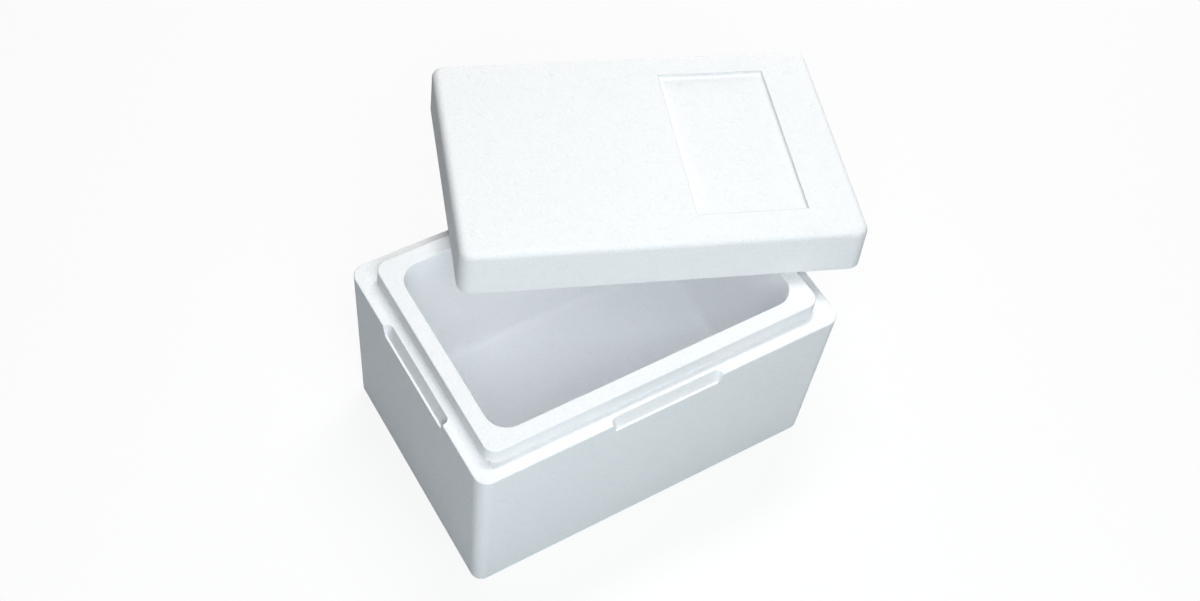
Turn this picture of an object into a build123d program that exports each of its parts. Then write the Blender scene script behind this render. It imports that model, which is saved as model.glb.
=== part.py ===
from build123d import *
from math import atan2, degrees
import os

# Insulated box in two moulded foam pieces: the box, and a loose cap lid that lies askew on it.
# Millimetres, +Z up, origin at the middle of the box's flat base.
# The long sides run along X, and the front is at -Y.

# Box, outside
box_length = 400.0            # along X, at the ledge
box_width = 270.0             # along Y, at the ledge
ledge_height = 207.0          # ground to the ledge that carries the lid
wall_lean = 2.3               # how far each outer wall leans in at the ground
upright_radius = 14.0         # outer upright corners
ground_radius = 3.0           # rounding round the base
arris_radius = 1.2            # softened edges that moulded foam has

# Rim of the box: an outer ledge, and a raised lip inside it
ledge_width = 17.3
lip_height = 17.8
lip_thickness = 16.7
lip_lean = 0.3                # how far the lip's outer face leans in at its top
lip_corner_radius = 13.0

# Inside of the box
floor_thickness = 36.0
cavity_lean = 3.0             # how far each inner wall leans in at the floor
opening_corner_radius = 22.0
cavity_foot_radius = 9.0      # rounding where the inner walls meet the floor

# Finger notches in the ledge's outer edge, one in the middle of each side
notch_length = 121.5          # at the ledge
notch_depth = 8.0             # into the ledge
notch_drop = 12.4             # below the ledge
notch_floor_length = 114.0
notch_floor_width = 2.4       # the narrow step that the slanted face ends on
notch_corner_radius = 6.0

# Lid: a thick panel, a skirt that goes down round the lip, and a low plug inside the lip
panel_thickness = 33.3
lid_lean = 1.0                # how far each outer side leans in at the top
crown_radius = 8.0            # rounding round the top
skirt_clearance = 0.8         # between the skirt and the lip when closed
lip_headroom = 0.5            # between the lip and the panel when closed
plug_height = 3.0
plug_clearance = 1.2          # between the plug and the opening when closed

# Label recess in the lid's top
label_width = 111.5           # along X
label_length = 200.5          # along Y
label_shift_x = 89.4          # from the lid's middle
label_shift_y = 2.5
label_depth = 4.0
label_cove_radius = 3.0       # where the recess's sides meet its floor

# Where the loose lid lies on the box
lid_shift_x = 104.9
lid_shift_y = 95.3
lid_turn = -21.35             # degrees about Z
rest_gap = 0.3                # left under the lid where it rests on the lip
settling_passes = 12          # rounds that the resting plane takes to settle

# Least straight length beside a rounded corner
corner_margin = 0.2

lip_top = ledge_height + lip_height
lip_half_x = box_length / 2 - ledge_width - lip_lean
lip_half_y = box_width / 2 - ledge_width - lip_lean
lip_top_radius = lip_corner_radius - lip_lean
wall_thickness = ledge_width + lip_thickness
skirt_depth = lip_height + lip_headroom
skirt_half_x = box_length / 2 - ledge_width + skirt_clearance
skirt_half_y = box_width / 2 - ledge_width + skirt_clearance
plug_level = skirt_depth - plug_height
lid_height = skirt_depth + panel_thickness

# Where the lip's flat top ends, inside its softened edge
lip_flat_x = lip_half_x - arris_radius
lip_flat_y = lip_half_y - arris_radius


def rounded_plate(length, width, radius, z):
    """Flat rounded rectangle at one height, its corners no larger than its sides allow."""
    largest = min(length, width) / 2 - corner_margin
    return Pos(0, 0, z) * RectangleRounded(length, width, min(radius, largest))


def leaning_block(length, width, radius, inset_low, inset_high, z_low, z_high):
    """Block with drafted sides, which lean in from its full size by the two insets."""
    foot = rounded_plate(
        length - 2 * inset_low, width - 2 * inset_low, radius - inset_low, z_low
    )
    draft = degrees(atan2(inset_high - inset_low, z_high - z_low))
    return extrude(foot, z_high - z_low, taper=draft)


def bottom_edges(solid):
    return solid.edges().group_by(Axis.Z)[0]


def top_edges(solid):
    return solid.edges().group_by(Axis.Z)[-1]


def box_shell():
    """Outer walls up to the ledge, with the base and the ledge's arris rounded."""
    shell = leaning_block(box_length, box_width, upright_radius, wall_lean, 0, 0, ledge_height)
    shell = fillet(bottom_edges(shell), ground_radius)
    return fillet(top_edges(shell), arris_radius)


def box_lip():
    """The raised lip, as a solid block that the cavity later opens."""
    return leaning_block(
        box_length - 2 * ledge_width,
        box_width - 2 * ledge_width,
        lip_corner_radius,
        0,
        lip_lean,
        ledge_height,
        lip_top,
    )


def box_cavity():
    """The space inside, wider at the mouth so that the moulding leaves its core."""
    cavity = leaning_block(
        box_length - 2 * wall_thickness,
        box_width - 2 * wall_thickness,
        opening_corner_radius,
        cavity_lean,
        0,
        floor_thickness,
        lip_top,
    )
    return fillet(bottom_edges(cavity), cavity_foot_radius)


def finger_notch():
    """Cutter for one notch, centred on a wall that lies along X, its mouth at z = 0."""
    floor = rounded_plate(
        notch_floor_length, 2 * notch_floor_width, notch_corner_radius, -notch_drop
    )
    mouth = rounded_plate(notch_length, 2 * notch_depth, notch_corner_radius, 0)
    return loft([floor, mouth]) + extrude(mouth, notch_drop)


def finger_notches():
    notch = Pos(0, 0, ledge_height) * finger_notch()
    front = Pos(0, -box_width / 2, 0) * notch
    side = Pos(box_length / 2, 0, 0) * Rot(0, 0, 90) * notch
    return [front, Rot(0, 0, 180) * front, side, Rot(0, 0, 180) * side]


def box_body():
    """The box as moulded, with both top edges of the lip softened."""
    body = box_shell() + box_lip() - box_cavity()
    body = fillet(top_edges(body), arris_radius)
    for notch in finger_notches():
        body -= notch
    return body


def label_recess():
    """Cutter for the recess in the lid's top, rounded where its sides meet its floor."""
    recess = Pos(label_shift_x, label_shift_y, lid_height - label_depth / 2) * Box(
        label_width, label_length, label_depth
    )
    return fillet(bottom_edges(recess), label_cove_radius)


def lid_plug():
    """The low middle of the lid's underside, which goes just inside the lip."""
    return leaning_block(
        box_length - 2 * wall_thickness - 2 * plug_clearance,
        box_width - 2 * wall_thickness - 2 * plug_clearance,
        opening_corner_radius - plug_clearance,
        arris_radius,
        0,
        plug_level,
        skirt_depth,
    )


def lid_hollow():
    """Cutter for the hollow under the panel, less the plug."""
    hollow = leaning_block(
        2 * skirt_half_x,
        2 * skirt_half_y,
        lip_corner_radius + skirt_clearance,
        0,
        lip_lean,
        0,
        skirt_depth,
    )
    return hollow - lid_plug()


def lid():
    """The lid as moulded, with its skirt standing on z = 0."""
    block = leaning_block(box_length, box_width, upright_radius, 0, lid_lean, 0, lid_height)
    block = fillet(top_edges(block), crown_radius)
    block = fillet(bottom_edges(block), arris_radius)
    return block - lid_hollow() - label_recess()


def crossing(plane, start, along, axis_name, value):
    """Where a straight line on the lid, start plus a multiple of along, meets a lip face."""
    point = plane.from_local_coords(start)
    step = plane.from_local_coords(start + along) - point
    gap = value - getattr(point, axis_name)
    return point + step * (gap / getattr(step, axis_name))


def resting_plane():
    """Plane of the skirt's lower edge when the loose lid lies on three points of the lip.

    The front skirt lies across the right lip, the left skirt lies across the back lip,
    and the lip's back right corner carries the plug.
    """
    rest_level = lip_top + rest_gap
    turned = Vector(1, 0, 0).rotate(Axis.Z, lid_turn)
    plane = Plane((lid_shift_x, lid_shift_y, rest_level), x_dir=turned, z_dir=(0, 0, 1))
    corner_middle = Vector(lip_half_x - lip_top_radius, lip_half_y - lip_top_radius, rest_level)
    for _ in range(settling_passes):
        front = crossing(plane, Vector(0, -skirt_half_y, 0), Vector(1, 0, 0), "X", lip_flat_x)
        left = crossing(plane, Vector(-skirt_half_x, 0, 0), Vector(0, 1, 0), "Y", lip_flat_y)
        front = Vector(front.X, front.Y, rest_level)
        left = Vector(left.X, left.Y, rest_level)
        downhill = Vector(plane.z_dir.X, plane.z_dir.Y, 0)
        if downhill.length > 0:
            downhill = downhill.normalized()
        reach = downhill * (lip_top_radius - arris_radius)
        under = corner_middle + reach - plane.z_dir * plug_level
        normal = (under - front).cross(left - front).normalized()
        rise = (front - Vector(lid_shift_x, lid_shift_y, 0)).dot(normal) / normal.Z
        forward = (turned - normal * turned.dot(normal)).normalized()
        plane = Plane((lid_shift_x, lid_shift_y, rise), x_dir=forward, z_dir=normal)
    return plane


def loose_lid():
    return resting_plane().location * lid()


os.makedirs("parts", exist_ok=True)
export_step(box_body(), "parts/box_body.step")
export_step(loose_lid(), "parts/lid.step")
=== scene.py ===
import math

import bpy
from mathutils import Matrix, Vector


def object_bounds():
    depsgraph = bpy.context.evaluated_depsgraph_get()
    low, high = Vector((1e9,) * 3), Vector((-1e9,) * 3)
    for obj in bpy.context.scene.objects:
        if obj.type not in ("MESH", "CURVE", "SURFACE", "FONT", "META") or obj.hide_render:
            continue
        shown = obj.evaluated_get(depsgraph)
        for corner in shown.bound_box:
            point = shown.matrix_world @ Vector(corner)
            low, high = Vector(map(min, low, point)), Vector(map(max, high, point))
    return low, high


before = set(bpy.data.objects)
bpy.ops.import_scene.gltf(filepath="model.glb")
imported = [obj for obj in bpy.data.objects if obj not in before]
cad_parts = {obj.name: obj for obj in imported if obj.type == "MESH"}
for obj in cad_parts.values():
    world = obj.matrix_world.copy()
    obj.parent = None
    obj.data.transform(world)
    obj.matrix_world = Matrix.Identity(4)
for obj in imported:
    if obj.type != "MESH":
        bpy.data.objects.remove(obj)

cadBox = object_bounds()
cadLow, cadHigh = cadBox
print("frame loaded, size in metres", [round(v, 4) for v in cadHigh - cadLow])


# Shader maths: a wrapped socket takes + - * with numbers and with other wrapped sockets
class Wire:
    def __init__(self, tree, socket):
        self.tree = tree
        self.socket = socket

    def math(self, operation, *values, swap=False):
        made = self.tree.nodes.new("ShaderNodeMath")
        made.operation = operation
        inputs = [self, *values]
        if swap:
            inputs.reverse()
        for slot, value in zip(made.inputs, inputs):
            if isinstance(value, Wire):
                self.tree.links.new(value.socket, slot)
            else:
                slot.default_value = value
        return Wire(self.tree, made.outputs[0])

    def __add__(self, other):
        return self.math("ADD", other)

    def __radd__(self, other):
        return self.math("ADD", other, swap=True)

    def __sub__(self, other):
        return self.math("SUBTRACT", other)

    def __rsub__(self, other):
        return self.math("SUBTRACT", other, swap=True)

    def __mul__(self, other):
        return self.math("MULTIPLY", other)

    def __rmul__(self, other):
        return self.math("MULTIPLY", other, swap=True)


# A node tree, with one method for every other kind of node
class Finish:
    def __init__(self, owner):
        owner.use_nodes = True
        self.tree = owner.node_tree
        self.tree.nodes.clear()

    def node(self, kind, settings=None, inputs=None, output=0):
        made = self.tree.nodes.new(kind)
        for name, value in (settings or {}).items():
            setattr(made, name, value)
        for name, value in (inputs or {}).items():
            if isinstance(value, Wire):
                self.tree.links.new(value.socket, made.inputs[name])
            else:
                made.inputs[name].default_value = value
        if len(made.outputs):
            return Wire(self.tree, made.outputs[output])

    def noise(self, place, scale, detail, output=0):
        inputs = {"Vector": place, "Scale": scale, "Detail": detail}
        return self.node("ShaderNodeTexNoise", None, inputs, output)

    def cells(self, feature, place, scale, output=0):
        inputs = {"Vector": place, "Scale": scale}
        return self.node("ShaderNodeTexVoronoi", {"feature": feature}, inputs, output)

    def ranged(self, value, low, high, start=0.0, end=1.0):     # smooth step from low to high
        inputs = {"Value": value, "From Min": low, "From Max": high, "To Min": start, "To Max": end}
        return self.node("ShaderNodeMapRange", {"interpolation_type": "SMOOTHSTEP"}, inputs)

    def blend(self, factor, first, second):     # colours, by a Mix node
        inputs = {0: factor, 6: first, 7: second}
        return self.node("ShaderNodeMix", {"data_type": "RGBA"}, inputs, output=2)

    def vector(self, operation, inputs, output=0):
        return self.node("ShaderNodeVectorMath", {"operation": operation}, inputs, output)

    def seenDirectly(self):     # 1 for the camera, reflections and refractions, 0 for light on the foam
        camera = self.node("ShaderNodeLightPath", output="Is Camera Ray")
        glossy = self.node("ShaderNodeLightPath", output="Is Glossy Ray")
        through = self.node("ShaderNodeLightPath", output="Is Transmission Ray")
        return camera.math("MAXIMUM", glossy).math("MAXIMUM", through)


# Moulded bead foam: swollen beads pressed flat against the mould, with fine seams between them
foamLook = {
    "white": (0.952, 0.959, 0.969, 1.0),
    "seamWhite": (0.91, 0.92, 0.933, 1.0),
    "beadSize": 0.0042,             # metres across one bead
    "beadUnevenness": 0.0011,       # metres that the seams wander
    "wanderScale": 160.0,           # noise cells of that wander in a metre
    "seamWidth": 0.11,              # share of a bead
    "seamDarkness": 0.55,
    "beadVariation": 0.38,          # how much single beads differ
    "beadCorner": (0.52, 0.78),     # from a bead's middle, where its corner starts and is full
    "pitScale": 0.45,               # of a bead's own scale
    "pitShare": (0.56, 0.68),       # noise levels between which bead corners open as pits
    "pitDarkness": 0.5,
    "cloudSize": 0.075,             # metres across a patch of denser foam
    "cloudShare": (0.35, 0.7),      # noise levels between which foam gets denser
    "cloudDarkness": 0.16,
    "arrisWidth": 0.0011,           # metres either side of a sharp edge
    "arrisTurn": (0.82, 0.98),      # cosine of the edge's turn, where its line is full and ends
    "arrisSamples": 4,
    "arrisShadeColour": (0.89, 0.90, 0.915, 1.0),     # colour of the painted shade along sharp edges, convex and concave
    "domeRelief": 0.35,             # swell of a bead, as a share of the relief's height
    "seamRelief": 0.5,
    "pitRelief": 0.7,
    "grainRelief": 0.06,
    "grainScale": 7.0,              # of a bead's own scale
    "reliefHeight": 0.0004,         # metres
    "reliefStrength": 0.55,
    "roughness": 0.56,
    "seamRoughness": 0.24,          # added in the seams
    "beadRoughness": 0.06,          # added on single beads
    "specular": 0.32,
    "ior": 1.45,
}

# Painted shade: the recess's crisp edges get a darker painted line on the lid
lidLook = dict(foamLook, arrisWidth=0.0014, arrisShadeColour=(0.60, 0.62, 0.64, 1.0))


def foam(name, look):
    skin = bpy.data.materials.new(name)
    paint = Finish(skin)
    place = paint.node("ShaderNodeTexCoord", output="Object")

    # Beads and their seams, on a place that wanders to either side of the true one
    wander = paint.noise(place, look["wanderScale"], 1.0, output="Color")
    centred = paint.vector("SUBTRACT", {0: wander, 1: (0.5, 0.5, 0.5)})
    shift = paint.vector("SCALE", {0: centred, "Scale": 2.0 * look["beadUnevenness"]})
    warped = paint.vector("ADD", {0: place, 1: shift})
    perMetre = 1.0 / look["beadSize"]
    bead = paint.cells("F1", warped, perMetre)
    tone = paint.cells("F1", warped, perMetre, output="Color")
    beadTone = paint.node("ShaderNodeSeparateColor", None, {"Color": tone})
    edge = paint.cells("DISTANCE_TO_EDGE", warped, perMetre)
    seam = paint.ranged(edge, 0.0, look["seamWidth"], 1.0, 0.0)

    # Open pits at some bead corners, denser patches, and a fine grain
    pitNoise = paint.noise(place, look["pitScale"] * perMetre, 2.0)
    pit = paint.ranged(bead, *look["beadCorner"]) * paint.ranged(pitNoise, *look["pitShare"])
    cloud = paint.ranged(paint.noise(place, 1.0 / look["cloudSize"], 3.0), *look["cloudShare"])
    grain = paint.noise(place, look["grainScale"] * perMetre, 2.0)

    # Painted shade along sharp edges, convex and concave, where a softened normal turns away from the
    # face
    softened = paint.node("ShaderNodeBevel", {"samples": look["arrisSamples"]},
                          {"Radius": look["arrisWidth"]})
    facing = paint.node("ShaderNodeNewGeometry", output="Normal")
    turned = paint.vector("DOT_PRODUCT", {0: softened, 1: facing}, output="Value")
    edgeShade = paint.ranged(turned, *look["arrisTurn"], 1.0, 0.0)

    shade = (seam * look["seamDarkness"] + beadTone * look["beadVariation"]
             + pit * look["pitDarkness"] + cloud * look["cloudDarkness"])
    beaded = paint.blend(paint.ranged(shade, 0.0, 1.0), look["white"], look["seamWhite"])
    # painted edge shade, blended over the beads' colour
    colour = paint.blend(edgeShade, beaded, look["arrisShadeColour"])
    rough = look["roughness"] + seam * look["seamRoughness"] + beadTone * look["beadRoughness"]
    dome = 1.0 - bead * bead
    height = (dome * look["domeRelief"] - seam * look["seamRelief"]
              - pit * look["pitRelief"] + grain * look["grainRelief"])
    relief = paint.node("ShaderNodeBump", None, {
        "Height": height, "Strength": look["reliefStrength"], "Distance": look["reliefHeight"]})
    shader = paint.node("ShaderNodeBsdfPrincipled", None, {
        "Base Color": colour, "Roughness": rough, "Normal": relief,
        "Specular IOR Level": look["specular"], "IOR": look["ior"]})
    paint.node("ShaderNodeOutputMaterial", None, {"Surface": shader})
    return skin


def dress(node, material):
    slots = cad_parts[node].data.materials
    slots.clear()
    slots.append(material)


dress("box_body", foam("boxFoam", foamLook))
dress("lid", foam("lidFoam", lidLook))
print("foam on the box and the lid")


# Plain pale floor that keeps a soft shadow
floorLook = {
    "size": 8.0,                            # metres along each side
    "white": (0.97, 0.97, 0.97, 1.0),       # as the camera sees it
    "bounce": (0.42, 0.45, 0.465, 1.0),     # what it throws back on the foam
    "ownLight": 0.86,                       # share of plain white that the camera sees
}


def makeFloor(look):
    half = look["size"] / 2
    corners = [(-half, -half, 0), (half, -half, 0), (half, half, 0), (-half, half, 0)]
    mesh = bpy.data.meshes.new("floor")
    mesh.from_pydata(corners, [], [(0, 1, 2, 3)])
    floor = bpy.data.objects.new("floor", mesh)
    bpy.context.scene.collection.objects.link(floor)
    surface = bpy.data.materials.new("floorPaper")
    paint = Finish(surface)
    seen = paint.seenDirectly()
    colour = paint.blend(seen, look["bounce"], look["white"])
    matt = paint.node("ShaderNodeBsdfDiffuse", None, {"Color": colour})
    glow = paint.node("ShaderNodeEmission", None, {"Strength": 1.0})
    mixed = paint.node("ShaderNodeMixShader", None, {0: seen * look["ownLight"], 1: matt, 2: glow})
    paint.node("ShaderNodeOutputMaterial", None, {"Surface": mixed})
    mesh.materials.append(surface)


makeFloor(floorLook)


# Soft studio light: a strip high behind the right, cooler fills at the front, a low lamp behind
# Angles are in degrees, and distances and sizes in metres
lightLook = {
    "aim": (0.03, 0.03, 0.16),              # the point that every lamp faces
    "world": 0.03,                          # what the world gives the foam
    "worldTint": (0.90, 0.97, 1.0, 1.0),
    "worldSeen": (1.0, 1.0, 1.0, 1.0),      # as the camera sees it
    "bounces": 12,                          # light keeps passing between the white walls inside
    "lamps": {
        "strip": {"azimuth": 50.0, "elevation": 69.0, "distance": 2.6, "size": (1.4, 0.5),
                  "roll": 40.0, "watts": 38.0, "tint": (1.0, 0.995, 0.985)},
        "front": {"azimuth": -110.0, "elevation": 50.0, "distance": 1.7, "size": (1.2, 1.2),
                  "roll": 0.0, "watts": 15.2, "tint": (0.93, 0.98, 1.0)},
        "lowLeft": {"azimuth": -120.0, "elevation": 14.0, "distance": 1.6, "size": (1.2, 1.2),
                    "roll": 0.0, "watts": 6.9, "tint": (0.85, 0.95, 1.0)},
        "back": {"azimuth": 45.0, "elevation": 10.0, "distance": 2.4, "size": (1.6, 0.8),
                 "roll": 0.0, "watts": 20.0, "tint": (0.97, 0.99, 1.0)},
    },
}


def makeWorld(look):
    world = bpy.data.worlds.new("studio")
    bpy.context.scene.world = world
    paint = Finish(world)
    seen = paint.seenDirectly()
    strength = look["world"] + seen * (1.0 - look["world"])
    colour = paint.blend(seen, look["worldTint"], look["worldSeen"])
    sky = paint.node("ShaderNodeBackground", None, {"Color": colour, "Strength": strength})
    paint.node("ShaderNodeOutputWorld", None, {"Surface": sky})


def makeLamp(name, lamp, aim):
    light = bpy.data.lights.new(name, "AREA")
    light.shape = "RECTANGLE"
    light.size, light.size_y = lamp["size"]
    light.energy = lamp["watts"]
    light.color = lamp["tint"]
    turn, rise = math.radians(lamp["azimuth"]), math.radians(lamp["elevation"])
    level = math.cos(rise)
    way = Vector((math.cos(turn) * level, math.sin(turn) * level, math.sin(rise)))
    aimed = (-way).to_track_quat("-Z", "Y").to_matrix()
    rolled = Matrix.Rotation(math.radians(lamp["roll"]), 3, "Z")
    holder = bpy.data.objects.new(name, light)
    holder.location = aim + way * lamp["distance"]
    holder.rotation_euler = (aimed @ rolled).to_euler()
    bpy.context.scene.collection.objects.link(holder)


bpy.context.scene.cycles.diffuse_bounces = lightLook["bounces"]
makeWorld(lightLook)
for lampName, lampLook in lightLook["lamps"].items():
    makeLamp(lampName, lampLook, Vector(lightLook["aim"]))
print("floor and lights set")


# Camera: where it stands, the point it looks at, and how far it is rolled, in metres and degrees
cameraLook = {
    "place": (-0.5410, -0.7068, 1.4731),
    "target": (0.02325, 0.02367, 0.15),
    "roll": 8.71,
    "lens": 47.726,             # millimetres, as the sensor
    "sensor": 36.0,
}


def makeCamera(look):
    place = Vector(look["place"])
    ahead = (Vector(look["target"]) - place).normalized()
    view = ahead.to_track_quat("-Z", "Y").to_matrix().to_4x4()
    rolled = Matrix.Rotation(math.radians(look["roll"]), 4, "Z")
    eye = bpy.data.cameras.new("camera")
    eye.sensor_width = look["sensor"]
    eye.lens = look["lens"]
    holder = bpy.data.objects.new("camera", eye)
    holder.matrix_world = Matrix.Translation(place) @ view @ rolled
    bpy.context.scene.collection.objects.link(holder)
    bpy.context.scene.camera = holder


makeCamera(cameraLook)
bpy.context.scene.view_settings.view_transform = "Standard"
print("camera set")
